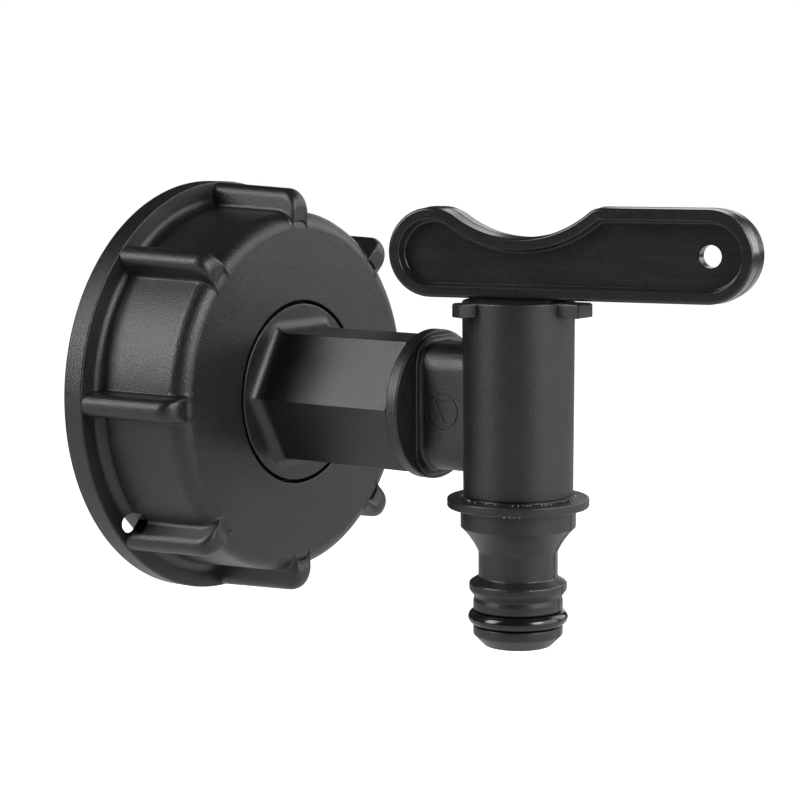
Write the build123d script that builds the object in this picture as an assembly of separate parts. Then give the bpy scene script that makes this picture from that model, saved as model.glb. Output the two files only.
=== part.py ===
from build123d import *
import math
import os

# Tap for a bulk liquid container, in millimetres, with +Z up.
# The origin is the centre of the union nut's mouth, which opens along +Y.
# The pipe runs from there along -Y to an upright barrel that pours down.

# Union nut
thread_r = 30.2
nut_depth = 23.6
nut_wall_end = 3.4
nut_hole_r = 17.1
drum_wall = 4.1
drum_taper = 0.7
drum_corner = 3.4
rib_count = 8
rib_width = 4.5
rib_back_height = 4.5
rib_front_height = 4.3
rib_proud = 0.5
rib_corner = 3.3
rib_round = 2.0
nut_rim_step = 0.1
nut_rim_thickness = 4.4
nut_rim_edge = 0.4
seal_hole_r = 2.2
seal_hole_step = 0.9
seal_hole_angle = 219.5
seal_hole_depth = 8.5

# Hexagon adapter and its two flat seals
swivel_gap = 0.1
boss_gap = 0.55
flange_gap = 0.4
flange_step = 2.6
flange_thickness = 3.4
hexagon_corner_r = 13.42
hexagon_end_y = 53.1
hexagon_root_fillet = 1.5
adapter_bore_r = 6.6
socket_r = 8.3
socket_depth = 16.0
gasket_thickness = 3.0
gasket_inset = 0.3
gasket_width = 9.3
washer_thickness = 2.0
washer_gap = 0.15

# Tap body
axis_y = 72.2
collar_r = 13.4
collar_thickness = 2.3
pad_margin = 1.2
pad_height = 0.6
pad_edge = 0.4
neck_width = 13.4
neck_height = 22.6
neck_corner = 4.6
passage_r = 4.2
spigot_gap = 0.05
barrel_r = 9.82
barrel_foot_r = 9.66
barrel_top = 19.4
barrel_foot = -14.8
barrel_bore_r = 7.4
lug_height = 2.5
lug_reach = 13.85
lug_width = 4.7
side_lug_reach = 13.1
side_lug_width = 2.8
side_lug_angle = 112.0
lug_round = 0.5

# Outlet nipple and its O-ring
weld_r = 9.3
centring_height = 2.4
centring_gap = 0.05
outlet_bore_r = 5.0
collar_foot_r = 12.5
collar_top = -15.2
collar_foot = -16.9
collar_edge = 0.35
shoulder_r = 10.15
shoulder_foot = -20.4
outlet_neck_r = 7.0
outlet_neck_top = -24.9
cove_depth = 0.5
catch_top = -29.3
catch_foot = -32.5
catch_r = 8.62
catch_slope = 1.0
land_r = 7.92
groove_top = -35.1
groove_foot = -37.95
nozzle_end = -41.6
nozzle_chamfer = 2.0
nozzle_ring_section = 2.5
nozzle_ring_r = 8.84
ring_seat_gap = 0.02

# Lever and its stem
lever_turn = 13.4
lever_travel = 90.0
lever_gap = 0.22
lever_thickness = 8.0
lever_height = 16.2
lever_reach = 42.7
lever_tail = 23.1
tail_height = 15.9
lever_draft = 1.5
lever_edge = 0.4
rim_width = 2.2
web_thickness = 3.5
recess_slope = 25.0
recess_fillet = 0.8
scoop_r = 20.0
scoop_drop = 5.45
scoop_fillet = 3.6
key_hole_r = 1.95
stem_gap = 0.08
stem_sink = 0.4
stem_foot = 6.6
stem_neck_width = 7.0
stem_ring_section = 1.78
stem_ring_heights = (14.4, 10.6)
stem_ring_gap = 0.03
groove_play = 0.2
stop_height = 1.8
stop_reach = 8.5
stop_angle = 20.0
stop_play = 0.15

# Valve rotor and the port seal
rotor_gap = 0.06
rotor_float = 0.2
rotor_bore_r = 5.3
rotor_crown = 2.2
port_r = 3.5
key_width = 6.0
key_height = 5.0
key_gap = 0.05
port_seal_r = 5.4
port_seal_length = 3.2
port_seal_gap = 0.05

# How far a cut runs past the face it opens, and how near two edges count as one place
cutter_overrun = 1.0
same_place = 0.001

# The nut is built outwards from its thread, and the flange and gasket pass through the thread
drum_back_r = thread_r + drum_wall
drum_front_r = drum_back_r - drum_taper
rib_back_r = drum_back_r + rib_back_height
rib_front_r = drum_front_r + rib_front_height
nut_rim_r = rib_back_r + nut_rim_step
seal_hole_from_axis = drum_back_r + seal_hole_step
flange_r = thread_r - flange_step
flange_recess_r = flange_r + flange_gap
gasket_r = flange_r - gasket_inset
gasket_bore_r = gasket_r - gasket_width

# Places that more than one piece shares
flange_front_y = nut_depth - nut_wall_end - swivel_gap
flange_back_y = flange_front_y - flange_thickness
gasket_back_y = flange_back_y - gasket_thickness
washer_back_y = hexagon_end_y - socket_depth
spigot_end_y = washer_back_y + washer_thickness
collar_front_y = hexagon_end_y + collar_thickness
seal_seat_y = axis_y - barrel_bore_r - port_seal_length
stem_top = barrel_top - stem_sink
lever_foot = barrel_top + lever_gap
rotor_foot = barrel_foot + centring_height + rotor_float
on_axis = Pos(0, -axis_y, 0)
with_lever = on_axis * Rot(0, 0, lever_turn)
os.makedirs("parts", exist_ok=True)


def turned(half_section, axis):
    """A solid of revolution from the corners of its half section."""
    return revolve(make_face(Polyline(*half_section, close=True)), axis)


def level(radius, back, front):
    """A cylinder along the pipe, between two distances from the nut's mouth."""
    return Pos(0, -(back + front) / 2, 0) * Rot(90, 0, 0) * Cylinder(radius, front - back)


def upright(radius, low, high):
    """A cylinder on the local Z axis, between two heights."""
    return Pos(0, 0, (low + high) / 2) * Cylinder(radius, high - low)


def along_pipe(sketch, back, front):
    """A sketch drawn with X across and Y up, run forward along the pipe."""
    return Pos(0, -back, 0) * Rot(90, 0, 0) * extrude(sketch, front - back)


def sector(radius, start, swing, low, high):
    """A slice of a disc: start is counted from +Y towards -X."""
    slice_of_disc = make_face(
        Polyline((0, 0), polar(radius, start))
        + CenterArc((0, 0), radius, start + 90, swing)
        + Polyline(polar(radius, start + swing), (0, 0))
    )
    return Pos(0, 0, low) * extrude(slice_of_disc, high - low)


def polar(radius, angle):
    """A point at an angle counted from +Y towards -X."""
    turn = math.radians(angle + 90)
    return (radius * math.cos(turn), radius * math.sin(turn))


def circles_of(solid, radius):
    """The solid's circular edges of one radius."""
    return [e for e in solid.edges().filter_by(GeomType.CIRCLE) if abs(e.radius - radius) < same_place]


# Union nut: a ribbed drum with a rim, a threaded mouth that ends in a plain recess for the
# adapter's flange, and a plain hole in its end wall
def make_union_nut():
    drum = turned(
        [
            (nut_hole_r, nut_wall_end - nut_depth),
            (flange_recess_r, nut_wall_end - nut_depth),
            (flange_recess_r, -gasket_back_y),
            (thread_r, -gasket_back_y),
            (thread_r, 0),
            (nut_rim_r, 0),
            (nut_rim_r, -nut_rim_thickness),
            (drum_back_r, -nut_rim_thickness),
            (drum_front_r, -nut_depth),
            (nut_hole_r, -nut_depth),
        ],
        Axis.Y,
    )
    drum = fillet(circles_of(drum, drum_front_r), drum_corner)
    drum = fillet(circles_of(drum, nut_rim_r), nut_rim_edge)
    rib = make_rib()
    drum += [Rot(0, 360 / rib_count * index, 0) * rib for index in range(rib_count)]
    seal_x = seal_hole_from_axis * math.cos(math.radians(seal_hole_angle))
    seal_z = seal_hole_from_axis * math.sin(math.radians(seal_hole_angle))
    return drum - Pos(seal_x, 0, seal_z) * level(seal_hole_r, -cutter_overrun, seal_hole_depth)


# A rib runs along the drum from the rim and curls over its front corner
def make_rib():
    front = -nut_depth - rib_proud
    inner_r = drum_front_r - drum_corner
    side = [
        (inner_r, -nut_rim_thickness / 2),
        (rib_back_r, -nut_rim_thickness / 2),
        (rib_front_r, front),
        (drum_front_r, front),
        (inner_r, rib_proud - nut_depth),
    ]
    bar = extrude(make_face(Polyline(*side, close=True)), rib_width / 2, both=True)
    outer_corner = bar.edges().filter_by(Axis.Z).sort_by_distance((rib_front_r, front, 0))[0]
    bar = fillet(outer_corner, rib_corner)
    flank = rib_width / 2 - same_place
    crest = [e for e in bar.edges() if e.center().X > drum_front_r and abs(e.center().Z) > flank]
    return fillet(crest, rib_round)


# Hexagon adapter: a flange inside the nut, a boss in the nut's hole, and a hexagon with a socket
def make_hex_adapter():
    body = level(flange_r, flange_back_y, flange_front_y)
    body += level(nut_hole_r - boss_gap, flange_front_y, nut_depth)
    body += along_pipe(RegularPolygon(hexagon_corner_r, 6), nut_depth, hexagon_end_y)
    straight = body.edges().filter_by(GeomType.LINE)
    root = [e for e in straight if abs(e.center().Y + nut_depth) < same_place]
    body = fillet(root, hexagon_root_fillet)
    body -= level(adapter_bore_r, flange_back_y - cutter_overrun, hexagon_end_y)
    return body - level(socket_r, washer_back_y, hexagon_end_y + cutter_overrun)


# Flat gasket between the adapter's flange and the container's spout
def make_tank_gasket():
    ring = level(gasket_r, gasket_back_y, flange_back_y)
    return ring - level(gasket_bore_r, gasket_back_y, flange_back_y)


# Flat washer at the bottom of the adapter's socket, nipped by the tap's spigot
def make_inlet_washer():
    ring = level(socket_r - washer_gap, washer_back_y, spigot_end_y)
    return ring - level(adapter_bore_r, washer_back_y, spigot_end_y)


# Tap body: spigot, collar, neck with round corners, and the upright barrel with its lugs
def make_tap_body():
    body = level(socket_r - spigot_gap, spigot_end_y, hexagon_end_y)
    body += level(collar_r, hexagon_end_y, collar_front_y)
    pad_width = neck_width + 2 * pad_margin
    pad = RectangleRounded(pad_width, neck_height + 2 * pad_margin, neck_corner + pad_margin)
    pad_plate = along_pipe(pad, collar_front_y, collar_front_y + pad_height)
    body += pad_plate & level(collar_r - pad_edge, collar_front_y, collar_front_y + pad_height)
    body += along_pipe(RectangleRounded(neck_width, neck_height, neck_corner), collar_front_y, axis_y)
    foot = Plane((0, -axis_y, barrel_foot)) * Circle(barrel_foot_r)
    top = Plane((0, -axis_y, barrel_top)) * Circle(barrel_r)
    body += loft([foot, top])
    body += make_lug(0, lug_reach, lug_width)
    body += make_lug(side_lug_angle, side_lug_reach, side_lug_width)
    body += make_lug(-side_lug_angle, side_lug_reach, side_lug_width)
    body -= on_axis * upright(barrel_bore_r, barrel_foot - cutter_overrun, barrel_top + cutter_overrun)
    body -= make_stop_recess()
    body -= level(passage_r, spigot_end_y - cutter_overrun, axis_y)
    return body - level(port_seal_r + port_seal_gap, seal_seat_y, axis_y)


# A lug stands out from the barrel's top edge, at an angle from straight ahead
def make_lug(angle, reach, width):
    root = (barrel_bore_r + barrel_r) / 2
    middle = Pos(0, -(reach + root) / 2, barrel_top - lug_height / 2)
    block = middle * Box(width, reach - root, lug_height)
    end_edges = block.edges().group_by(Axis.Y)[0]
    block = fillet(end_edges.sort_by(Axis.Z)[:-1], lug_round)
    return on_axis * Rot(0, 0, -angle) * block


# A recess in the barrel's mouth lets the stem's stop swing through the lever's travel
def make_stop_recess():
    play = math.degrees(stop_play / barrel_bore_r)
    floor = stem_top - stop_height - stop_play
    swing = lever_travel + stop_angle + 2 * play
    start = -stop_angle / 2 - play
    return on_axis * sector(stop_reach + stop_play, start, swing, floor, barrel_top + cutter_overrun)


# Seal set in the barrel's wall round the inlet, where it rubs on the rotor
def make_port_seal():
    sleeve = level(port_seal_r, seal_seat_y, axis_y) - level(passage_r, seal_seat_y, axis_y)
    return sleeve - on_axis * upright(barrel_bore_r, -barrel_bore_r, barrel_bore_r)


# Outlet nipple: welded under the barrel, with a collar, a catch for a hose coupling and a nose
def make_outlet_nipple():
    groove_r = nozzle_ring_r - nozzle_ring_section - ring_seat_gap
    cove_r = (shoulder_r + outlet_neck_r) / 2 - cove_depth
    cove_z = (shoulder_foot + outlet_neck_top) / 2 - cove_depth / 2
    cove = ThreePointArc((shoulder_r, shoulder_foot), (cove_r, cove_z), (outlet_neck_r, outlet_neck_top))
    upper = Polyline(
        (outlet_bore_r, nozzle_end),
        (outlet_bore_r, barrel_foot + centring_height),
        (barrel_bore_r - centring_gap, barrel_foot + centring_height),
        (barrel_bore_r - centring_gap, barrel_foot),
        (weld_r, barrel_foot),
        (weld_r, collar_top),
        (collar_foot_r, collar_top),
        (collar_foot_r, collar_foot),
        (shoulder_r, collar_foot),
        (shoulder_r, shoulder_foot),
    )
    lower = Polyline(
        (outlet_neck_r, outlet_neck_top),
        (outlet_neck_r, catch_top),
        (catch_r, catch_top - catch_slope),
        (catch_r, catch_foot + catch_slope),
        (land_r, catch_foot),
        (land_r, groove_top),
        (groove_r, groove_top),
        (groove_r, groove_foot),
        (land_r, groove_foot),
        (land_r, nozzle_end + nozzle_chamfer),
        (land_r - nozzle_chamfer, nozzle_end),
        (outlet_bore_r, nozzle_end),
    )
    half_section = Plane.XZ * make_face(upper + cove + lower)
    body = revolve(half_section, Axis.Z)
    return on_axis * fillet(circles_of(body, collar_foot_r), collar_edge)


# O-ring in the nozzle's groove
def make_nozzle_ring():
    height = (groove_top + groove_foot) / 2
    section_r = nozzle_ring_section / 2
    return on_axis * Pos(0, 0, height) * Torus(nozzle_ring_r - section_r, section_r)


# Lever: an I-section blade with a finger scoop and a ring hole, in one moulding with its stem
def make_lever():
    tip_x = lever_reach - lever_height / 2
    tip_z = lever_foot + lever_height / 2
    outline = make_lever_outline(tip_x, tip_z)
    half = extrude(Plane.XZ * outline, lever_thickness / 2, taper=lever_draft)
    half = fillet(edges_at(half, lever_thickness / 2), lever_edge)
    recess = Plane.XZ.offset(lever_thickness / 2) * offset(outline, -rim_width)
    half -= extrude(recess, -(lever_thickness - web_thickness) / 2, taper=recess_slope)
    half = fillet(edges_at(half, web_thickness / 2), recess_fillet)
    blade = half + mirror(half, Plane.XZ)
    blade -= Pos(tip_x, 0, tip_z) * Rot(90, 0, 0) * Cylinder(key_hole_r, lever_thickness)
    return with_lever * Rot(0, 0, -90) * blade + with_lever * make_stem()


def edges_at(solid, distance):
    """The edges that lie in the plane at a distance in front of the lever's middle."""
    flat = [e for e in solid.edges() if e.bounding_box().size.Y < same_place]
    return [e for e in flat if abs(e.center().Y + distance) < same_place]


# The outline has a round tip, a smaller round tail, a straight foot and a scoop in its back
def make_lever_outline(tip_x, tip_z):
    top = lever_foot + lever_height
    tail_r = tail_height / 2
    tail = Vector(tail_r - lever_tail, lever_foot + tail_r)
    scoop_z = top - scoop_drop + scoop_r
    reach = scoop_r + tail_r
    scoop = Vector(tail.X + math.sqrt(reach**2 - (scoop_z - tail.Y) ** 2), scoop_z)
    tangent = tail + (scoop - tail) * (tail_r / reach)
    kink = Vector(scoop.X + math.sqrt(scoop_r**2 - (scoop_z - top) ** 2), top)
    outline = make_face(
        [
            Line((tail.X, lever_foot), (tip_x, lever_foot)),
            ThreePointArc((tip_x, lever_foot), (lever_reach, tip_z), (tip_x, top)),
            Line((tip_x, top), kink),
            ThreePointArc(kink, (scoop.X, scoop_z - scoop_r), tangent),
            ThreePointArc(tangent, (-lever_tail, tail.Y), (tail.X, lever_foot)),
        ]
    )
    corner = outline.vertices().sort_by_distance(kink)[0]
    return fillet(corner, scoop_fillet)


# Stem: it seals in the barrel's bore, carries the stop and drives the rotor by a square
def make_stem():
    stem_r = barrel_bore_r - stem_gap
    stem = upright(stem_r, stem_foot, stem_top)
    neck_top = lever_foot + 2 * lever_edge
    neck = Pos(0, 0, (stem_top + neck_top) / 2) * Box(stem_neck_width, 2 * stem_r, neck_top - stem_top)
    stem += neck & upright(stem_r, stem_top, neck_top)
    stem += sector(stop_reach, -stop_angle / 2, stop_angle, stem_top - stop_height, stem_top)
    for height in stem_ring_heights:
        half_groove = (stem_ring_section + groove_play) / 2
        band = upright(stem_r + cutter_overrun, height - half_groove, height + half_groove)
        core_r = barrel_bore_r - stem_ring_gap - stem_ring_section - ring_seat_gap
        stem -= band - upright(core_r, height - half_groove, height + half_groove)
    socket = key_width + 2 * key_gap
    return stem - Pos(0, 0, stem_foot) * Box(socket, socket, 2 * (key_height + key_gap))


# The stem's O-rings seal its groove to the barrel's bore
def make_stem_ring(height):
    section_r = stem_ring_section / 2
    return on_axis * Pos(0, 0, height) * Torus(barrel_bore_r - stem_ring_gap - section_r, section_r)


# Rotor: a cup with a port in its side, open at the foot, turned by the stem's square
def make_valve_rotor():
    rotor = upright(barrel_bore_r - rotor_gap, rotor_foot, stem_foot)
    rotor += Pos(0, 0, stem_foot + key_height / 2) * Box(key_width, key_width, key_height)
    rotor -= upright(rotor_bore_r, rotor_foot - cutter_overrun, stem_foot - rotor_crown)
    rotor -= level(port_r, -barrel_bore_r, 0)
    return with_lever * rotor


pieces = {
    "union_nut": make_union_nut(),
    "hex_adapter": make_hex_adapter(),
    "tank_gasket": make_tank_gasket(),
    "inlet_washer": make_inlet_washer(),
    "tap_body": make_tap_body(),
    "port_seal": make_port_seal(),
    "outlet_nipple": make_outlet_nipple(),
    "nozzle_ring": make_nozzle_ring(),
    "lever_handle": make_lever(),
    "stem_ring_upper": make_stem_ring(stem_ring_heights[0]),
    "stem_ring_lower": make_stem_ring(stem_ring_heights[1]),
    "valve_rotor": make_valve_rotor(),
}
for name, piece in pieces.items():
    export_step(piece, f"parts/{name}.step")
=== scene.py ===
import math

import bmesh
import bpy
from mathutils import Matrix, Vector


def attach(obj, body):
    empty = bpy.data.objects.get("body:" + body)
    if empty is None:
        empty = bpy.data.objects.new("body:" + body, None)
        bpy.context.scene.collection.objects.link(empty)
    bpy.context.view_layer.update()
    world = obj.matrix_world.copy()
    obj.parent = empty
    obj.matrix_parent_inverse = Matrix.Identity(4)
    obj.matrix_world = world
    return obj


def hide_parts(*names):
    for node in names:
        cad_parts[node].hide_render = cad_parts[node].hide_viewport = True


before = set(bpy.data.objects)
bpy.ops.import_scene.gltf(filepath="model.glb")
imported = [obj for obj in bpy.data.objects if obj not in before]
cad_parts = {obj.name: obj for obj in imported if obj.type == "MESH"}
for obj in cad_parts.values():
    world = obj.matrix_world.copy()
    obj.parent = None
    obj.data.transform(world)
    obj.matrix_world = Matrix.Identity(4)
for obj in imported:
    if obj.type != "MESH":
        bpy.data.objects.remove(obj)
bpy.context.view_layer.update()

# Tap for a bulk liquid container: a ribbed union nut, a hexagon adapter, and a moulded tap with
# a lever and a hose nozzle. Lengths are in millimetres up to the mesh, which is in metres.
MM = 0.001


# Camera
# It stands where the photograph was taken, to the left of the tap and a little above it. Its
# place, its turns and its lens come from a fit of the solids' edges to the photograph.
camera_azimuth = -53.63
camera_elevation = 7.138
camera_roll = math.radians(-0.257)
mouth_in_view = Vector((-37.476, 3.197, -454.132)) * MM
picture_width = 800
focal_pixels = 2355.5


def toward(angle):
    """A unit vector in a plane, at an angle from the plane's first axis."""
    return Vector((math.cos(angle), math.sin(angle)))


def put_in_scene(name, data):
    """A new object with its data, in the scene."""
    new_object = bpy.data.objects.new(name, data)
    bpy.context.scene.collection.objects.link(new_object)
    return new_object


def seen_from(azimuth, elevation):
    """The direction from the tap to a camera or a lamp, from two angles in degrees."""
    turn = math.radians(azimuth)
    rise = math.radians(elevation)
    level = math.cos(rise)
    return Vector((math.sin(turn) * level, -math.cos(turn) * level, math.sin(rise)))


back = seen_from(camera_azimuth, camera_elevation)
level_right = toward(math.radians(camera_azimuth)).to_3d()
turn_of_view = Matrix((level_right, back.cross(level_right), back)).transposed()
turn_of_view = turn_of_view @ Matrix.Rotation(camera_roll, 3, "Z")
camera_data = bpy.data.cameras.new("photo_camera")
camera_data.sensor_width = 36
camera_data.lens = focal_pixels / picture_width * camera_data.sensor_width
camera_data.clip_start = 0.01
camera = put_in_scene("photo_camera", camera_data)
camera.matrix_world = Matrix.Translation(-(turn_of_view @ mouth_in_view)) @ turn_of_view.to_4x4()
bpy.context.scene.camera = camera
bpy.context.scene.view_settings.view_transform = "Standard"


# Union nut
# A wide nut of black plastic that screws on the container's spout. It is one moulding: a drum
# with a rim, and ribs for the hand that run along the drum and curl over its front corner.
nut_depth = 23.6
nut_end_wall = 3.4
rim_r = 38.9
rim_thickness = 4.4
drum_back_r = 34.3
drum_front_r = 33.6
drum_corner = 3.4
nut_hole_r = 17.1
thread_r = 30.2
thread_depth = 13.7
flange_recess_r = 28.0
rib_count = 8
rib_width = 4.5
rib_back_r = 38.8
rib_front_r = 37.9
rib_proud = 0.5
rib_corner = 3.3
rib_crest_round = 1.9
rib_foot_round = 0.8
rib_rim_flare = 0.9
rib_rim_spread = 0.5
rib_end_r = 32.0
rib_nose_width = 0.4
seal_hole_angle = math.radians(224)


def rounded(corners, closed=True, steps=5):
    """Points of an outline from its corners, each given as (across, up, rounding radius)."""
    points = []
    for index, (across, up, radius) in enumerate(corners):
        here = Vector((across, up))
        is_end = not closed and index in (0, len(corners) - 1)
        if radius == 0 or is_end:
            points.append(here)
            continue
        before = (Vector(corners[index - 1][:2]) - here).normalized()
        after = (Vector(corners[(index + 1) % len(corners)][:2]) - here).normalized()
        half = before.angle(after) / 2
        centre = here + (before + after).normalized() * (radius / math.sin(half))
        start = here + before * (radius / math.tan(half)) - centre
        end = here + after * (radius / math.tan(half)) - centre
        for step in range(steps + 1):
            share = step / steps
            points.append(centre + start.lerp(end, share).normalized() * radius)
    return points


def skin(name, rings, loop=False):
    """A closed mesh over rings of points in millimetres: joined end to end, or capped."""
    shell = bmesh.new()
    rows = [[shell.verts.new(point * MM) for point in ring] for ring in rings]
    pairs = list(zip(rows, rows[1:]))
    if loop:
        pairs.append((rows[-1], rows[0]))
    for low, high in pairs:
        for index in range(len(low)):
            following = (index + 1) % len(low)
            shell.faces.new((low[index], low[following], high[following], high[index]))
    if not loop:
        shell.faces.new(rows[0])
        shell.faces.new(rows[-1])
    bmesh.ops.remove_doubles(shell, verts=shell.verts, dist=0.001 * MM)
    bmesh.ops.recalc_face_normals(shell, faces=shell.faces)
    mesh = bpy.data.meshes.new(name)
    shell.to_mesh(mesh)
    shell.free()
    return put_in_scene(name, mesh)


def round_pipe(radius, along, angle):
    """A point at a distance from the pipe's axis, which is the Y axis."""
    return Vector((radius * math.cos(angle), along, radius * math.sin(angle)))


def full_circle(steps):
    """Angles at equal steps all the way round."""
    return [math.tau * step / steps for step in range(steps)]


def quarter_circle(steps):
    """Angles at equal steps from zero to a right angle, with both ends."""
    return [math.pi / 2 * step / steps for step in range(steps + 1)]


def turned_on_pipe(name, outline, steps):
    """An outline of (radius, y) points turned round the pipe's axis."""
    rings = [[round_pipe(r, y, angle) for r, y in outline] for angle in full_circle(steps)]
    return skin(name, rings, loop=True)


drum_outline = [
    (nut_hole_r, -nut_depth, 0.3),
    (drum_front_r, -nut_depth, drum_corner),
    (drum_back_r, -rim_thickness, 1.8),
    (rim_r, -rim_thickness, 0.32),
    (rim_r, 0, 0.5),
    (thread_r, 0, 0.3),
    (thread_r, -thread_depth, 0.3),
    (flange_recess_r, -thread_depth, 0.3),
    (flange_recess_r, nut_end_wall - nut_depth, 0.4),
    (nut_hole_r, nut_end_wall - nut_depth, 0.3),
]
nut = turned_on_pipe("union_nut_moulding", rounded(drum_outline), 192)

rib_height = rib_back_r - drum_back_r
rib_half = rib_width / 2
rib_start_y = -rim_thickness / 2
rib_anchor_depth = 1.3
rib_side_steps = 12
rib_corner_steps = 14
rib_nose_steps = 8
narrowing_from = 18  # the step of a rib's path at which it begins to narrow


def along_rib(back_r, front_r, front_y, corner, end_r, sink):
    """A path over the drum: up the side, round its front corner and in over its face."""
    corner_r = front_r - corner
    corner_y = front_y + corner
    path = []
    for step in range(rib_side_steps + 1):
        share = step / rib_side_steps
        radius = back_r + (front_r - back_r) * share
        path.append(Vector((radius, rib_start_y + (corner_y - rib_start_y) * share)))
    for angle in quarter_circle(rib_corner_steps)[1:]:
        radius = corner_r + corner * math.cos(angle)
        path.append(Vector((radius, corner_y - corner * math.sin(angle))))
    for step in range(1, rib_nose_steps + 1):
        share = step / rib_nose_steps
        fall = sink * (1 - math.cos(math.pi * share)) / 2
        radius = corner_r + (end_r - front_r + corner) * share
        path.append(Vector((radius, front_y + fall)))
    return path


crest = along_rib(rib_back_r, rib_front_r, -nut_depth - rib_proud, rib_corner, rib_end_r, rib_proud)
foot = along_rib(drum_back_r, drum_front_r, -nut_depth, drum_corner, rib_end_r, 0)
anchor = along_rib(
    drum_back_r - rib_anchor_depth,
    drum_front_r - rib_anchor_depth,
    -nut_depth + rib_anchor_depth,
    drum_corner - rib_anchor_depth,
    rib_end_r - 0.3,
    0,
)
# Across the rib: how far from its middle, and what share of its height is left there
section = []
for angle in quarter_circle(7):
    lost = rib_crest_round * (1 - math.cos(angle)) / rib_height
    section.append((rib_half - 0.1 - rib_crest_round * (1 - math.sin(angle)), 1 - lost))
for angle in quarter_circle(7):
    share = rib_foot_round * (1 - math.sin(angle)) / rib_height
    section.append((rib_half + rib_foot_round * (1 - math.cos(angle)), share))
section.append((rib_half + rib_foot_round + 0.05, -0.02))


def width_left(step):
    """The share of the rib's width that is left at a step of its path: it narrows to its nose."""
    along_nose = max(0.0, (step - narrowing_from) / (len(crest) - 1 - narrowing_from))
    return rib_nose_width + (1 - rib_nose_width) * math.sqrt(1 - along_nose**2)


rib_rings = []
for across, share in [(-a, s) for a, s in reversed(section)] + section:
    ring = []
    for step, (high, low) in enumerate(zip(crest, foot)):
        at_rim = min(1.0, max(0.0, 1 - (-rim_thickness - low.y) / rib_rim_flare))
        wider = across + math.copysign(rib_rim_spread * at_rim**2, across) * (1 - share)
        wider *= width_left(step)
        on_drum = Vector((math.sqrt(low.x**2 - wider**2), low.y))
        place = on_drum.lerp(high, share)
        ring.append(Vector((place.x, place.y, wider)))
    for step, low in reversed(list(enumerate(anchor))):
        narrower = across * width_left(step)
        ring.append(Vector((math.sqrt(low.x**2 - narrower**2), low.y, narrower)))
    rib_rings.append(ring)
rib = skin("nut_rib", rib_rings)

# Sections of the seal hole: how far along the pipe, its two sides, and its inner and outer edge
seal_outline = [(-0.5, -0.5, 0.1), (0.5, -0.5, 0.1), (0.5, 0.5, 0.42), (-0.5, 0.5, 0.42)]
outward = round_pipe(1, 0, seal_hole_angle)
sideways = Vector((-outward.z, 0, outward.x))
seal_rings = []
for y, start, end, low, high in (
    (-8.1, -3.5, -1.3, 33.2, 37.2),
    (-7.8, -3.8, -1.0, 32.95, 37.2),
    (-rim_thickness, -4.0, -0.6, 32.95, 37.1),
    (0.8, -0.1, 4.9, 32.7, 36.4),
):
    ring = []
    for across, up in rounded(seal_outline, steps=6):
        place = outward * ((low + high) / 2 + (high - low) * up)
        place += sideways * ((start + end) / 2 + (end - start) * across)
        ring.append(Vector((place.x, y, place.z)))
    seal_rings.append(ring)
seal_cutter = skin("seal_hole", seal_rings)


def new_tree(name, inputs):
    """A geometry node tree with named inputs, and its input and output nodes."""
    tree = bpy.data.node_groups.new(name, "GeometryNodeTree")
    for label, kind in inputs:
        tree.interface.new_socket(label, in_out="INPUT", socket_type=kind)
    tree.interface.new_socket("Geometry", in_out="OUTPUT", socket_type="NodeSocketGeometry")
    return tree, tree.nodes.new("NodeGroupInput"), tree.nodes.new("NodeGroupOutput")


def identifier(tree, label):
    """The identifier of a tree's input, by which a modifier sets it."""
    return next(item.identifier for item in tree.interface.items_tree if item.name == label)


def made_plain(piece):
    """The piece's modifiers are applied, and none is left on it."""
    scene_state = bpy.context.evaluated_depsgraph_get()
    mesh = bpy.data.meshes.new_from_object(piece.evaluated_get(scene_state))
    piece.modifiers.clear()
    piece.data = mesh


def add_node(tree, kind, inputs=None, **settings):
    """A node with its settings. Its inputs get numbers, or links from other nodes' outputs."""
    node = tree.nodes.new(kind)
    for name, value in settings.items():
        setattr(node, name, value)
    for label, value in (inputs or {}).items():
        if isinstance(value, bpy.types.NodeSocket):
            tree.links.new(value, node.inputs[label])
        else:
            node.inputs[label].default_value = value
    return node


def boolean_node(tree, operation, pieces, whole=None):
    """The pieces joined, or cut away from the whole."""
    node = add_node(tree, "GeometryNodeMeshBoolean", operation=operation, solver="MANIFOLD")
    for piece in pieces:
        tree.links.new(piece, node.inputs["Mesh 2"])
    if whole:
        tree.links.new(whole, node.inputs["Mesh 1"])
    return node.outputs[0]


def shape_node(tree, piece):
    """The geometry of the object that comes in by a socket."""
    return add_node(tree, "GeometryNodeObjectInfo", {"Object": piece}).outputs["Geometry"]


def calculate(tree, operation, first, second=0):
    """The result of a sum in a tree, from sockets or numbers."""
    return add_node(tree, "ShaderNodeMath", {0: first, 1: second}, operation=operation).outputs[0]


def end_tree(tree, given, geometry, result):
    """The last nodes of a tree: its instances become a mesh, and the mesh gets its plastic."""
    whole = add_node(tree, "GeometryNodeRealizeInstances", {0: geometry}).outputs[0]
    plastic_in = given.outputs["Plastic"]
    painted = add_node(tree, "GeometryNodeSetMaterial", {"Geometry": whole, "Material": plastic_in})
    tree.links.new(painted.outputs[0], result.inputs[0])


def run_tree(piece, tree, values):
    """The tree runs on the piece, and what it makes becomes the piece's mesh."""
    modifier = piece.modifiers.new(tree.name, "NODES")
    modifier.node_group = tree
    for label, value in values.items():
        modifier[identifier(tree, label)] = value
    made_plain(piece)


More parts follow.
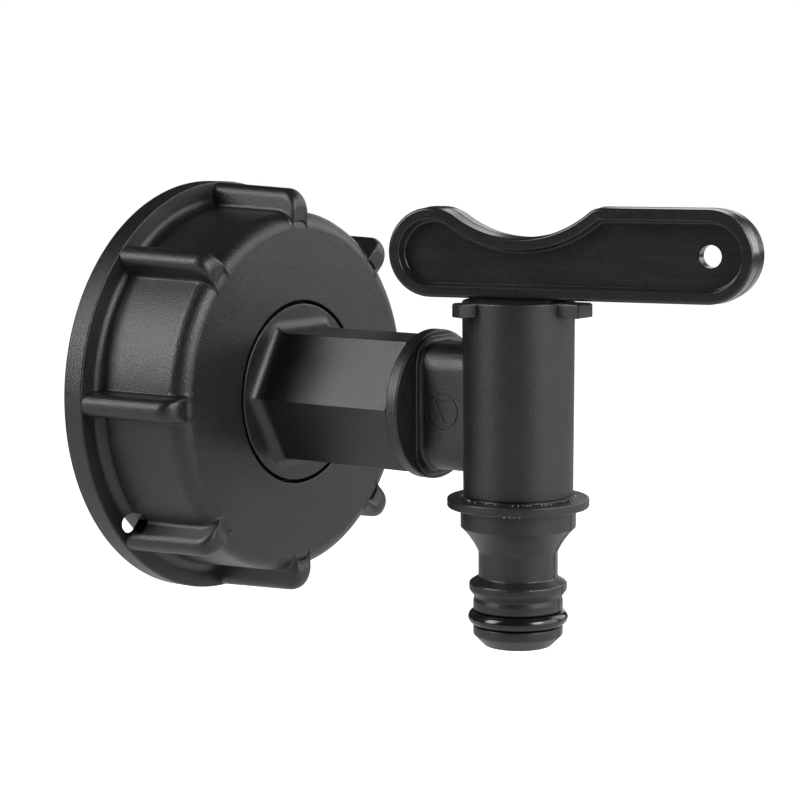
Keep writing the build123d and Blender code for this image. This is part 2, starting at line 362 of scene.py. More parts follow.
# The ribs stand round the drum at equal steps, and the seal hole is cut through rim and rib
ribbing, given, result = new_tree(
    "ribs_round_nut",
    [
        ("Drum", "NodeSocketGeometry"),
        ("Rib", "NodeSocketObject"),
        ("Ribs", "NodeSocketInt"),
        ("Seal hole", "NodeSocketObject"),
        ("Plastic", "NodeSocketMaterial"),
    ],
)
one_step = calculate(ribbing, "DIVIDE", math.tau, given.outputs["Ribs"])
number = add_node(ribbing, "GeometryNodeInputIndex").outputs[0]
rib_angle = calculate(ribbing, "MULTIPLY", one_step, number)
rotation = add_node(ribbing, "ShaderNodeCombineXYZ", {"Y": rib_angle})
points = add_node(ribbing, "GeometryNodePoints", {"Count": given.outputs["Ribs"]})
placed = add_node(
    ribbing,
    "GeometryNodeInstanceOnPoints",
    {
        "Points": points.outputs[0],
        "Instance": shape_node(ribbing, given.outputs["Rib"]),
        "Rotation": rotation.outputs[0],
    },
)
loose_ribs = add_node(ribbing, "GeometryNodeRealizeInstances", {0: placed.outputs[0]}).outputs[0]
ribbed = boolean_node(ribbing, "UNION", [given.outputs["Drum"], loose_ribs])
seal_hole = shape_node(ribbing, given.outputs["Seal hole"])
end_tree(ribbing, given, boolean_node(ribbing, "DIFFERENCE", [seal_hole], ribbed), result)


# Finishes that several plastics share
# Grain is the skin of the spark-eroded mould. Flow marks are the faint streaks that the melt
# leaves. Dust is the bloom that settles on what faces up.
def new_effect(name, inputs, outputs):
    """A shader node group with named numbers in and values out."""
    group = bpy.data.node_groups.new(name, "ShaderNodeTree")
    for label, value in inputs:
        socket = group.interface.new_socket(label, in_out="INPUT", socket_type="NodeSocketFloat")
        socket.default_value = value
    for label in outputs:
        group.interface.new_socket(label, in_out="OUTPUT", socket_type="NodeSocketFloat")
    return group, group.nodes.new("NodeGroupInput"), group.nodes.new("NodeGroupOutput")


def object_place(tree):
    return add_node(tree, "ShaderNodeTexCoord").outputs["Object"]


def noise_node(tree, place, scale, detail, roughness=0.55):
    inputs = {"Vector": place, "Scale": scale, "Detail": detail, "Roughness": roughness}
    return add_node(tree, "ShaderNodeTexNoise", inputs).outputs[0]


def remap(tree, value, low, high, new_low, new_high):
    inputs = {"Value": value, "From Min": low, "From Max": high}
    inputs.update({"To Min": new_low, "To Max": new_high})
    return add_node(tree, "ShaderNodeMapRange", inputs).outputs[0]


grain, given, result = new_effect(
    "mould_grain", [("Fineness", 3200)], ["Height", "Tone", "Sheen"]
)
place = object_place(grain)
fine = noise_node(grain, place, given.outputs["Fineness"], 3, 0.5)
broad = noise_node(grain, place, 90, 4)
cloud = noise_node(grain, place, 420, 5, 0.65)
grain.links.new(fine, result.inputs["Height"])
speckle = remap(grain, fine, 0.35, 0.65, -0.8, 0.8)
mottled = remap(grain, broad, 0.3, 0.7, -1, 1)
clouded = calculate(grain, "ADD", mottled, remap(grain, cloud, 0.3, 0.7, -0.5, 0.5))
grain.links.new(calculate(grain, "ADD", clouded, speckle), result.inputs["Tone"])
sheen = calculate(grain, "ADD", remap(grain, cloud, 0.25, 0.75, -0.6, 0.6), speckle)
grain.links.new(sheen, result.inputs["Sheen"])

flow, given, result = new_effect("flow_marks", [("Stretch", 9)], ["Height", "Streak"])
scale = add_node(flow, "ShaderNodeCombineXYZ", {"X": 1, "Y": 1, "Z": given.outputs["Stretch"]})
stretched = add_node(
    flow,
    "ShaderNodeMapping",
    {
        "Vector": object_place(flow),
        "Rotation": (0, 0, math.radians(-13.4)),
        "Scale": scale.outputs[0],
    },
)
streaks = noise_node(flow, stretched.outputs[0], 60, 5, 0.6)
flow.links.new(streaks, result.inputs["Height"])
flow.links.new(remap(flow, streaks, 0.3, 0.7, -1, 1), result.inputs["Streak"])

dust, given, result = new_effect("settled_dust", [("Amount", 0.1)], ["Mask"])
normal = add_node(dust, "ShaderNodeNewGeometry").outputs["Normal"]
apart = add_node(dust, "ShaderNodeSeparateXYZ", {0: normal})
specks = remap(dust, noise_node(dust, object_place(dust), 700, 6, 0.7), 0.5, 0.8, 0, 1)
facing_up = remap(dust, apart.outputs["Z"], 0.2, 1, 0.25, 1)
lying = calculate(dust, "MULTIPLY", specks, facing_up)
dust.links.new(calculate(dust, "MULTIPLY", lying, given.outputs["Amount"]), result.inputs["Mask"])


def placed_group(material, group, **numbers):
    return add_node(material.node_tree, "ShaderNodeGroup", numbers, node_tree=group)


dust_colour = (0.32, 0.31, 0.29, 1)
streak_height = 3


def plastic(
    name,
    colour,
    roughness,
    fineness,
    grain_depth,
    dust_amount,
    mottle=0.25,
    uneven=0.05,
    streak=0.0,
):
    """A moulded finish: grain and dust on every one, and flow marks where streak isn't zero."""
    material = bpy.data.materials.new(name)
    material.use_nodes = True
    tree = material.node_tree
    shader = tree.nodes["Principled BSDF"]
    skin_effect = placed_group(material, grain, Fineness=fineness)
    dust_effect = placed_group(material, dust, Amount=dust_amount)
    tone = remap(tree, skin_effect.outputs["Tone"], -1, 1, 1 - mottle, 1 + mottle)
    tinted = add_node(
        tree,
        "ShaderNodeMix",
        {"Factor": 1, "A": (*colour, 1), "B": tone},
        data_type="RGBA",
        blend_type="MULTIPLY",
    )
    dusty = add_node(
        tree,
        "ShaderNodeMix",
        {"Factor": dust_effect.outputs["Mask"], "A": tinted.outputs["Result"], "B": dust_colour},
        data_type="RGBA",
    )
    tree.links.new(dusty.outputs["Result"], shader.inputs["Base Color"])
    sheen = skin_effect.outputs["Sheen"]
    rough = remap(tree, sheen, -1, 1, roughness - uneven, roughness + uneven)
    height = skin_effect.outputs["Height"]
    if streak:
        marks = placed_group(material, flow)
        streaky = remap(tree, marks.outputs["Streak"], -1, 1, -streak, streak)
        rough = calculate(tree, "ADD", rough, streaky)
        raised = calculate(tree, "MULTIPLY", marks.outputs["Height"], streak_height)
        height = calculate(tree, "ADD", height, raised)
    tree.links.new(rough, shader.inputs["Roughness"])
    relief = {"Strength": 1, "Distance": grain_depth * MM, "Height": height}
    bump = add_node(tree, "ShaderNodeBump", relief)
    tree.links.new(bump.outputs["Normal"], shader.inputs["Normal"])
    return material


nut_plastic = plastic(
    "nut_plastic",
    (0.0095, 0.0095, 0.01),
    roughness=0.33,
    fineness=3800,
    grain_depth=0.08,
    dust_amount=0.015,
)


def smoothed(piece, body, material=None, sharp_from=35):
    """The last steps of a piece: its shading, its material, and the body that it rides on."""
    piece.data.shade_smooth()
    piece.data.set_sharp_from_angle(angle=math.radians(sharp_from))
    flats = piece.modifiers.new("flat faces", "WEIGHTED_NORMAL")
    flats.keep_sharp = True
    flats.weight = 75
    made_plain(piece)
    if material:
        piece.data.materials.clear()
        piece.data.materials.append(material)
    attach(piece, body)


run_tree(
    nut,
    ribbing,
    {"Rib": rib, "Ribs": rib_count, "Seal hole": seal_cutter, "Plastic": nut_plastic},
)
bpy.data.objects.remove(rib)
bpy.data.objects.remove(seal_cutter)
smoothed(nut, "nut")
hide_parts("union_nut")


# Thread in the nut
# A coarse square-shouldered thread of a few turns, moulded in one with the nut. Its ridge runs
# out to nothing at both ends, so that the nut starts easily on the spout.
thread_crest_r = 28.3
thread_sunk_r = thread_r + 0.3
thread_pitch = 6.0
thread_turns = 1.75
thread_start_y = -1.7
thread_squeeze = 0.98
runout_slope = 12
runout_rest = 0.02
ridge_steps = 260
ridge_outline = rounded(
    [
        (thread_sunk_r, -1.5, 0),
        (thread_crest_r, -0.75, 0.3),
        (thread_crest_r, 0.75, 0.3),
        (thread_sunk_r, 1.5, 0),
    ],
    steps=3,
)
ridge_rings = []
for step in range(ridge_steps + 1):
    share = step / ridge_steps
    angle = math.tau * thread_turns * share
    rise = min(1.0, min(share, 1 - share) * runout_slope + runout_rest)
    y = thread_start_y - thread_pitch * thread_turns * share * thread_squeeze
    ring = []
    for radius, along in ridge_outline:
        sunk = thread_sunk_r - (thread_sunk_r - radius) * rise
        ring.append(round_pipe(sunk, y + along * (0.4 + 0.6 * rise), -angle))
    ridge_rings.append(ring)
nut_thread = skin("nut_thread", ridge_rings)
smoothed(nut_thread, "nut", nut_plastic)


# Hexagon adapter
# It joins the tap to the nut: a flange that the nut draws on the spout, a boss in the nut's hole
# and a hexagon for the spanner. Black plastic, moulded in one, with a threaded socket.
flange_r = 27.6
flange_back = -16.7
flange_front = -20.1
boss_r = 16.55
hexagon_corner_r = 13.42
hexagon_edge = 0.22
hexagon_root = 2.3
hexagon_middle = -35
hexagon_end = -53.1
adapter_bore_r = 6.6
socket_r = 8.3
socket_foot = -37.1
gasket_bore_r = 18.0
flat_steps = 7
edge_steps = 4


def hexagon_ring(edge, grow):
    """Points of a hexagon with rounded edges, grown outwards by a distance."""
    flat = hexagon_corner_r * math.cos(math.pi / 6)
    edge_centre = (flat - edge) / math.cos(math.pi / 6)
    ring = []
    for corner in range(6):
        middle = math.tau * corner / 6
        centre = toward(middle) * edge_centre
        for step in range(edge_steps + 1):
            angle = middle + math.pi / 3 * (step / edge_steps - 0.5)
            ring.append(centre + toward(angle) * (edge + grow))
        following = math.tau * (corner + 1) / 6
        first = ring[-1]
        last = toward(following) * edge_centre + toward(following - math.pi / 6) * (edge + grow)
        for step in range(1, flat_steps):
            ring.append(first.lerp(last, step / flat_steps))
    return ring


hexagon_points = hexagon_ring(hexagon_edge, 0)
around_hexagon = [math.atan2(point.y, point.x) for point in hexagon_points]
adapter_rings = []


def add_round(corners):
    """Round rings of the adapter, with as many points as a hexagonal one has."""
    for radius, y in rounded(corners, closed=False):
        adapter_rings.append([round_pipe(radius, y, angle) for angle in around_hexagon])


def add_hexagonal(y, edge, grow):
    ring = hexagon_ring(edge, grow)
    adapter_rings.append([Vector((point.x, y, point.y)) for point in ring])


add_round(
    [(adapter_bore_r, flange_back, 0), (flange_r, flange_back, 0.4), (flange_r, flange_front, 0.4)]
)
add_round(
    [
        (flange_r - 0.5, flange_front, 0),
        (boss_r, flange_front, 0.4),
        (boss_r, -nut_depth, 0.3),
        (hexagon_corner_r + hexagon_root + 0.1, -nut_depth, 0),
    ]
)
for angle in quarter_circle(7):
    root_y = -nut_depth - hexagon_root * (1 - math.cos(angle))
    add_hexagonal(root_y, hexagon_edge, hexagon_root * (1 - math.sin(angle)))
add_hexagonal(hexagon_middle, hexagon_edge, 0)
add_hexagonal(hexagon_end + 0.25, hexagon_edge, 0)
add_hexagonal(hexagon_end + 0.07, hexagon_edge + 0.3, -0.07)
add_hexagonal(hexagon_end, hexagon_edge + 0.3, -0.25)
add_round(
    [
        (socket_r + 0.6, hexagon_end, 0),
        (socket_r, hexagon_end, 0.3),
        (socket_r, socket_foot, 0.2),
        (adapter_bore_r, socket_foot, 0.2),
        (adapter_bore_r, flange_back - 0.3, 0),
    ]
)
adapter = skin("adapter_moulding", adapter_rings, loop=True)
adapter_plastic = plastic(
    "adapter_plastic",
    (0.009, 0.009, 0.0095),
    roughness=0.32,
    fineness=4200,
    grain_depth=0.05,
    dust_amount=0.01,
)
smoothed(adapter, "valve_body", adapter_plastic)
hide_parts("hex_adapter")


# Flat seals
# A gasket on the adapter's flange that the spout presses on, and a washer at the foot of the
# adapter's socket. Both are stamped from sheet rubber.
rubber = plastic(
    "sheet_rubber",
    (0.02, 0.02, 0.02),
    roughness=0.7,
    fineness=1800,
    grain_depth=0.05,
    mottle=0.12,
    dust_amount=0.06,
)
seal_edge = 0.2


def rectangle(start_across, end_across, start_up, end_up):
    """The four corners of a rectangle, beginning with the starts."""
    lower = [(start_across, start_up), (end_across, start_up)]
    return lower + [(end_across, end_up), (start_across, end_up)]


for name, node, outer_r, bore_r, back_y, front_y in (
    ("tank_gasket_rubber", "tank_gasket", 27.3, gasket_bore_r, -thread_depth, flange_back),
    ("inlet_washer_rubber", "inlet_washer", 8.15, adapter_bore_r, socket_foot, -39.1),
):
    corners = rectangle(bore_r, outer_r, front_y, back_y)
    outline = rounded([(*corner, seal_edge) for corner in corners], steps=3)
    seal = turned_on_pipe(name, outline, 128)
    smoothed(seal, "valve_body", rubber)
    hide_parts(node)


# Tap body
# The black plastic moulding of the tap: a collar against the hexagon, a neck of oblong section
# and the upright barrel, with three small lugs at its top edge that stop the lever.
axis_y = -72.2
collar_r = 13.4
collar_front = -55.4
pad_front = -56.0
neck_width = 13.4
neck_height = 22.6
neck_corner = 4.6
pad_margin = 1.2
neck_root = 0.7
barrel_r = 9.82
barrel_foot_r = 9.66
barrel_top = 19.4
barrel_foot = -14.8
barrel_bore_r = 7.4
passage_r = 4.2
spigot_r = 8.25
spigot_end = -39.1
port_seal_r = 5.4
port_seat_r = port_seal_r + 0.05
seal_seat = -61.6
lug_height = 2.5
# Each lug's turn from the front in degrees, its reach from the barrel's axis, and its width
lugs = ((0, 13.85, 4.7), (112, 13.1, 2.8), (-112, 13.1, 2.8))
stop_recess_r = 8.65
stop_recess_floor = 17.05
stop_recess_start = -101.2
stop_recess_sweep = 112.4
stop_recess_steps = 48


def round_barrel(radius, angle, z):
    """A point at a distance from the barrel's axis, which is upright."""
    return Vector((radius * math.cos(angle), axis_y + radius * math.sin(angle), z))


def turned_upright(name, outline, steps):
    """An outline of (radius, z) points turned round the barrel's axis."""
    rings = [[round_barrel(r, angle, z) for r, z in outline] for angle in full_circle(steps)]
    return skin(name, rings, loop=True)


def oblong(width, height, corner, y):
    """A ring with round corners, across the pipe at a distance along it."""
    corners = rectangle(width / 2, -width / 2, height / 2, -height / 2)
    outline = rounded([(*place, corner) for place in corners], steps=8)
    return [Vector((point.x, y, point.y)) for point in outline]


def joined(name, added, cut, material):
    """One mesh from pieces that are joined, less the pieces that are cut away."""
    added_labels = [f"Added {number}" for number in range(len(added))]
    cut_labels = [f"Cut {number}" for number in range(len(cut))]
    inputs = [(label, "NodeSocketObject") for label in added_labels + cut_labels]
    tree, given, result = new_tree(name + "_join", inputs + [("Plastic", "NodeSocketMaterial")])
    added_shapes = [shape_node(tree, given.outputs[label]) for label in added_labels]
    cut_shapes = [shape_node(tree, given.outputs[label]) for label in cut_labels]
    union = boolean_node(tree, "UNION", added_shapes)
    end_tree(tree, given, boolean_node(tree, "DIFFERENCE", cut_shapes, union), result)
    whole = put_in_scene(name, bpy.data.meshes.new(name))
    values = dict(zip(added_labels + cut_labels, added + cut))
    run_tree(whole, tree, {**values, "Plastic": material})
    for used in added + cut:
        bpy.data.objects.remove(used)
    return whole


barrel_outline = [
    (barrel_bore_r - 1, barrel_foot, 0),
    (barrel_foot_r, barrel_foot, 0.25),
    (barrel_r, barrel_top, 0.35),
    (barrel_bore_r - 1, barrel_top, 0),
]
barrel = turned_upright("barrel", rounded(barrel_outline), 144)
collar_outline = [
    (passage_r - 1, spigot_end, 0),
    (spigot_r, spigot_end, 0.3),
    (spigot_r, hexagon_end, 0),
    (collar_r, hexagon_end, 0.3),
    (collar_r, collar_front, 0.35),
    (passage_r - 1, collar_front, 0),
]
collar = turned_on_pipe("collar", rounded(collar_outline), 144)
# Sections of the neck and its pad: how far along the pipe, and how much wider than the neck
pad_rings = []
for y, margin in (
    (collar_front + 0.5, pad_margin + 0.05),
    (collar_front - 0.1, pad_margin + 0.05),
    (pad_front + 0.15, pad_margin),
    (pad_front, pad_margin - 0.2),
    (pad_front, neck_root),
    (pad_front - 0.1, neck_root * 0.45),
    (pad_front - 0.35, neck_root * 0.14),
    (pad_front - neck_root, 0),
    (axis_y + 7, 0),
    (axis_y + 2, 0),
):
    height = min(neck_height + 2 * margin, 2 * (collar_r - 0.35))
    pad_rings.append(oblong(neck_width + 2 * margin, height, neck_corner + margin * 0.7, y))
neck = skin("neck", pad_rings)
body_parts = [barrel, collar, neck]
for angle, reach, width in lugs:
    turn = Matrix.Translation((0, axis_y, 0)) @ Matrix.Rotation(math.radians(-angle), 4, "Z")
    foot = barrel_top - lug_height
    rings = []
    lug_sections = ((-barrel_bore_r - 1, 0), (0.5 - reach, 0), (0.15 - reach, 0.15), (-reach, 0.5))
    for y, edge in lug_sections:
        outline = rounded(
            [
                (width / 2 - edge, barrel_top - edge, 0.35),
                (-width / 2 + edge, barrel_top - edge, 0.35),
                (-width / 2 + edge, foot + edge * 0.5, 0.15),
                (width / 2 - edge, foot + edge * 0.5, 0.15),
            ],
            steps=4,
        )
        rings.append([turn @ Vector((point.x, y, point.y)) for point in outline])
    body_parts.append(skin("lug", rings))
bore_outline = rectangle(0.5, barrel_bore_r, barrel_foot - 1, barrel_top + 1)
bore = turned_upright("bore", bore_outline, 96)
stop_recess_outline = rectangle(5, stop_recess_r, stop_recess_floor, barrel_top + 1)
recess_rings = []
for step in range(stop_recess_steps + 1):
    angle = math.radians(stop_recess_start + stop_recess_sweep * step / stop_recess_steps)
    recess_rings.append([round_barrel(r, angle, z) for r, z in stop_recess_outline])
stop_recess = skin("stop_recess", recess_rings)
passage_outline = [
    (0.5, spigot_end + 1),
    (passage_r, spigot_end + 1),
    (passage_r, seal_seat),
    (port_seat_r, seal_seat),
    (port_seat_r, axis_y),
    (0.5, axis_y),
]
passage = turned_on_pipe("passage", passage_outline, 96)

# The mark in the neck's side: a ring and a plain numeral, cut as shallow grooves
mark_x = -neck_width / 2
mark_y = -60.8
mark_z = -0.3
mark_ring_r = 3.1
groove_half_width = 0.16
groove_depth = 0.13
numeral = ((-1.3, 1.9), (1.3, 1.9), (-0.35, -1.9))


def groove(name, path, closed):
    """A channel cutter with sloping sides along a path of (y, z) points on the neck's side."""
    rings = []
    for index, point in enumerate(path):
        before = path[index - 1] if closed or index else point
        after = path[(index + 1) % len(path)] if closed or index < len(path) - 1 else point
        heading = (after - before).normalized()
        across = Vector((-heading.y, heading.x)) * groove_half_width
        if index and index < len(path) - 1 and not closed:
            turn_here = (point - before).angle(after - point) / 2
            across = across / max(0.5, math.cos(turn_here))
        wide = across * 1.25
        corners = (
            (mark_x - 0.3, point + wide),
            (mark_x + groove_depth, point + across * 0.75),
            (mark_x + groove_depth, point - across * 0.75),
            (mark_x - 0.3, point - wide),
        )
        rings.append([Vector((x, place.x, place.y)) for x, place in corners])
    return skin(name, rings, closed)


mark_centre = Vector((mark_y, mark_z))
ring_path = [mark_centre + toward(angle) * mark_ring_r for angle in full_circle(72)]
numeral_path = [mark_centre + Vector(point) for point in numeral]
mark_ring = groove("mark_ring", ring_path, True)
mark_numeral = groove("mark_numeral", numeral_path, False)
body_plastic = plastic(
    "body_plastic",
    (0.0095, 0.0095, 0.01),
    roughness=0.37,
    fineness=4000,
    grain_depth=0.07,
    dust_amount=0.012,
)
tap_body = joined(
    "tap_body_moulding",
    body_parts,
    [bore, stop_recess, passage, mark_ring, mark_numeral],
    body_plastic,
)
smoothed(tap_body, "valve_body")
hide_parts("tap_body")


# Port seal
# A short rubber sleeve set in the barrel's wall round the inlet. Its free end is hollowed to lie
# against the turning rotor.
port_rings = []
for angle in full_circle(64):
    ring = []
    for radius in (passage_r, port_seal_r):
        x = radius * math.cos(angle)
        hollow_y = axis_y + math.sqrt(barrel_bore_r**2 - x * x)
        ring.append((x, radius * math.sin(angle), hollow_y))
    for radius in (port_seal_r, passage_r):
        ring.append((radius * math.cos(angle), radius * math.sin(angle), seal_seat))
    port_rings.append([Vector((x, y, z)) for x, z, y in ring])
port_seal = skin("port_seal_rubber", port_rings, loop=True)
smoothed(port_seal, "valve_body", rubber)
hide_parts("port_seal")


# Outlet nipple
# A separate black moulding welded under the barrel. It has a collar, a catch for the sleeve of a
# hose coupling, a groove for the O-ring and a chamfered nose. Its two parting lines are proud.
weld_r = 9.3
centring_r = 7.35
collar_foot_r = 12.5
collar_top = -15.2
collar_foot = -16.9
shoulder_r = 10.15
shoulder_foot = -20.4
nozzle_neck_r = 7.0
cove_r = 8.075
cove_z = -22.9
nozzle_neck_top = -24.9
catch_top = -29.3
catch_foot = -32.5
catch_r = 8.62
waist_r = 7.74
land_r = 7.92
groove_top = -35.1
groove_foot = -37.95
ring_groove_r = 6.32
nozzle_end = -41.6
nozzle_chamfer = 2.0
nipple_top = -12.4
outlet_bore_r = 5.0
# The parting lines: a turn in degrees, a height and an end, then widths and steps in radians
parting_turn = 8
line_height = 0.1
line_end = -41
line_half = 0.014
line_slope = 0.009
line_offsets = (-0.03, -0.014, -0.01, -0.004, 0.004, 0.01, 0.014, 0.03)
nipple_steps = 72


def arc_between(first, middle, last, steps):
    """Points of a circle's arc through three points, without the two ends."""
    a, b, c = Vector(first), Vector(middle), Vector(last)
    a2, b2, c2 = a.length_squared, b.length_squared, c.length_squared
    double = 2 * (a.x * (b.y - c.y) + b.x * (c.y - a.y) + c.x * (a.y - b.y))
    x = a2 * (b.y - c.y) + b2 * (c.y - a.y) + c2 * (a.y - b.y)
    y = a2 * (c.x - b.x) + b2 * (a.x - c.x) + c2 * (b.x - a.x)
    centre = Vector((x, y)) / double
    start = a - centre
    end = c - centre
    swing = math.atan2(start.x * end.y - start.y * end.x, start.dot(end))
    turns = [Matrix.Rotation(swing * step / steps, 2) for step in range(1, steps)]
    return [centre + turn @ start for turn in turns]


cove = arc_between(
    (shoulder_r, shoulder_foot), (cove_r, cove_z), (nozzle_neck_r, nozzle_neck_top), 10
)
nipple_outline = rounded(
    [
        (outlet_bore_r, nozzle_end, 0.3),
        (outlet_bore_r, nipple_top, 0.3),
        (centring_r, nipple_top, 0.4),
        (centring_r, barrel_foot, 0),
        (weld_r, barrel_foot, 0.15),
        (weld_r, collar_top, 0.15),
        (collar_foot_r, collar_top, 0.3),
        (collar_foot_r, collar_foot, 0.35),
        (shoulder_r, collar_foot, 0.35),
        (shoulder_r, shoulder_foot, 0),
    ]
    + [(point.x, point.y, 0) for point in cove]
    + [
        (nozzle_neck_r, nozzle_neck_top, 0),
        (nozzle_neck_r, catch_top, 0.35),
        (catch_r, catch_top - 1.0, 0.5),
        (catch_r, catch_foot + 0.9, 0.5),
        (waist_r, catch_foot - 0.25, 0.4),
        (land_r, catch_foot - 1.1, 0.5),
        (land_r, groove_top, 0.2),
        (ring_groove_r, groove_top, 0.2),
        (ring_groove_r, groove_foot, 0.2),
        (land_r, groove_foot, 0.2),
        (land_r, nozzle_end + nozzle_chamfer, 0.5),
        (land_r - nozzle_chamfer, nozzle_end, 0.3),
    ],
)
parting_angles = (math.radians(-90 + parting_turn), math.radians(90 + parting_turn))
last_offset = line_offsets[-1]
nipple_angles = []
for side in parting_angles:
    nipple_angles += [side + offset for offset in line_offsets]
    for step in range(1, nipple_steps):
        between = (math.pi - 2 * last_offset) * step / nipple_steps
        nipple_angles.append(side + last_offset + between)
nipple_rings = []
for angle in nipple_angles:
    off_line = min(abs(math.remainder(angle - side, math.tau)) for side in parting_angles)
    proud = line_height * min(1.0, max(0.0, (line_half - off_line) / line_slope))
    ring = []
    for point in nipple_outline:
        outside = point.x > ring_groove_r + 0.1 and line_end < point.y < collar_top - 0.1
        radius = point.x + (proud if outside and point.x < collar_foot_r - 0.05 else 0)
        ring.append(round_barrel(radius, angle, point.y))
    nipple_rings.append(ring)
nipple = skin("nipple_moulding", nipple_rings, loop=True)
nipple_plastic = plastic(
    "nipple_plastic",
    (0.0105, 0.0105, 0.011),
    roughness=0.34,
    fineness=4200,
    grain_depth=0.045,
    dust_amount=0.015,
)
smoothed(nipple, "valve_body", nipple_plastic)
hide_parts("outlet_nipple")


# Weld flash
# Crumbs of plastic that the spin weld threw out, caught on top of the nipple's collar, and a
# few more along the collar's lower edge, where the mould has left some flash.
flashing, given, result = new_tree(
    "weld_flash",
    [
        ("Crumbs", "NodeSocketInt"),
        ("Nearest", "NodeSocketFloat"),
        ("Farthest", "NodeSocketFloat"),
        ("Height", "NodeSocketFloat"),
        ("First angle", "NodeSocketFloat"),
        ("Last angle", "NodeSocketFloat"),
        ("Seed", "NodeSocketInt"),
        ("Plastic", "NodeSocketMaterial"),
    ],
)
crumb_radius = 0.12


def random_node(tree, seed, low, high):
    """A random number for each point, between two numbers or sockets."""
    node = add_node(tree, "FunctionNodeRandomValue", {"Seed": seed})
    for label, value in (("Min", low), ("Max", high)):
        socket = [item for item in node.inputs if item.name == label and item.type == "VALUE"][0]
        if isinstance(value, (int, float)):
            socket.default_value = value
        else:
            tree.links.new(value, socket)
    return [item for item in node.outputs if item.type == "VALUE"][0]


wire = flashing.links.new
crumb_place = add_node(flashing, "ShaderNodeCombineXYZ", {"Z": given.outputs["Height"]})
crumb_turn = add_node(flashing, "ShaderNodeCombineXYZ")
crumb_size = add_node(flashing, "ShaderNodeCombineXYZ")
seed = given.outputs["Seed"]
around = random_node(flashing, seed, given.outputs["First angle"], given.outputs["Last angle"])
seed = calculate(flashing, "ADD", seed, 1)
away = random_node(flashing, seed, given.outputs["Nearest"], given.outputs["Farthest"])
for axis, operation in enumerate(("COSINE", "SINE")):
    share = calculate(flashing, operation, around)
    wire(calculate(flashing, "MULTIPLY", share, away), crumb_place.inputs[axis])
for axis, low, high in ((0, 0.4, 1.6), (1, 0.4, 1.1), (2, 0.3, 0.9)):
    seed = calculate(flashing, "ADD", seed, 1)
    wire(random_node(flashing, seed, low, high), crumb_size.inputs[axis])
    seed = calculate(flashing, "ADD", seed, 1)
    wire(random_node(flashing, seed, 0, math.tau), crumb_turn.inputs[axis])
crumb_points = add_node(flashing, "GeometryNodePoints", {"Count": given.outputs["Crumbs"]})
moved = add_node(
    flashing,
    "GeometryNodeSetPosition",
    {"Geometry": crumb_points.outputs[0], "Position": crumb_place.outputs[0]},
)
crumb = add_node(
    flashing, "GeometryNodeMeshIcoSphere", {"Radius": crumb_radius * MM, "Subdivisions": 1}
)
strewn = add_node(
    flashing,
    "GeometryNodeInstanceOnPoints",
    {
        "Points": moved.outputs[0],
        "Instance": crumb.outputs["Mesh"],
        "Rotation": crumb_turn.outputs[0],
        "Scale": crumb_size.outputs[0],
    },
)
end_tree(flashing, given, strewn.outputs[0], result)
flash_plastic = plastic(
    "flash_plastic",
    (0.42, 0.42, 0.41),
    roughness=0.5,
    fineness=3000,
    grain_depth=0.02,
    mottle=0.3,
    dust_amount=0.0,
)
for name, count, nearest, farthest, height, first_angle, last_angle, start in (
    ("weld_flash", 80, 9.72, 10.15, collar_top + 0.03, 0, 360, 3),
    ("collar_flash", 16, 12.2, 12.4, collar_foot + 0.1, 182, 222, 11),
):
    piece = put_in_scene(name, bpy.data.meshes.new(name))
    run_tree(
        piece,
        flashing,
        {
            "Crumbs": count,
            "Nearest": nearest * MM,
            "Farthest": farthest * MM,
            "Height": height * MM,
            "First angle": math.radians(first_angle),
            "Last angle": math.radians(last_angle),
            "Seed": start,
            "Plastic": flash_plastic,
        },
    )
    piece.data.transform(Matrix.Translation((0, axis_y * MM, 0)))
    smoothed(piece, "valve_body")


# O-rings
# One on the nozzle that seals in the coupling, and two on the stem. Greased, so they are glossy,
# and each has the hair-thin flash line of its mould round its outside and its inside.
nozzle_ring_z = (groove_top + groove_foot) / 2
stem_ring_r = barrel_bore_r - 0.03
upper_ring_z = 14.4
lower_ring_z = 10.6
ring_flash = 0.02
ring_sides = 32
ring_rubber = plastic(
    "ring_rubber",
    (0.006, 0.006, 0.006),
    roughness=0.17,
    fineness=900,
    grain_depth=0.004,
    mottle=0.1,
    dust_amount=0.004,
    uneven=0.02,
)


def o_ring(name, outer_r, section, z):
    """A ring round the barrel's axis, with a flash line on its outside and its inside."""
    cord_r = section / 2 - ring_flash
    rings = []
    for around in full_circle(160):
        ring = []
        for side, angle in enumerate(full_circle(ring_sides)):
            flash = ring_flash if side in (0, ring_sides // 2) else 0
            radius = outer_r - section / 2 + (cord_r + flash) * math.cos(angle)
            ring.append(round_barrel(radius, around, z + cord_r * math.sin(angle)))
        rings.append(ring)
    return skin(name, rings, loop=True)


for name, node, body, outer_r, section, z in (
    ("nozzle_o_ring", "nozzle_ring", "valve_body", 8.84, 2.5, nozzle_ring_z),
    ("upper_o_ring", "stem_ring_upper", "lever", stem_ring_r, 1.78, upper_ring_z),
    ("lower_o_ring", "stem_ring_lower", "lever", stem_ring_r, 1.78, lower_ring_z),
):
    ring_piece = o_ring(name, outer_r, section, z)
    smoothed(ring_piece, body, ring_rubber)
    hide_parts(node)


# Rotor
# The cup inside the barrel that opens and closes the tap. It is natural white sliding plastic,
# moulded, and it keeps the shape of its solid.
rotor_plastic = plastic(
    "rotor_plastic",
    (0.55, 0.55, 0.53),
    roughness=0.35,
    fineness=1500,
    grain_depth=0.01,
    mottle=0.05,
    dust_amount=0.04,
)
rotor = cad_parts["valve_rotor"]
rotor.data.materials.clear()
rotor.data.materials.append(rotor_plastic)


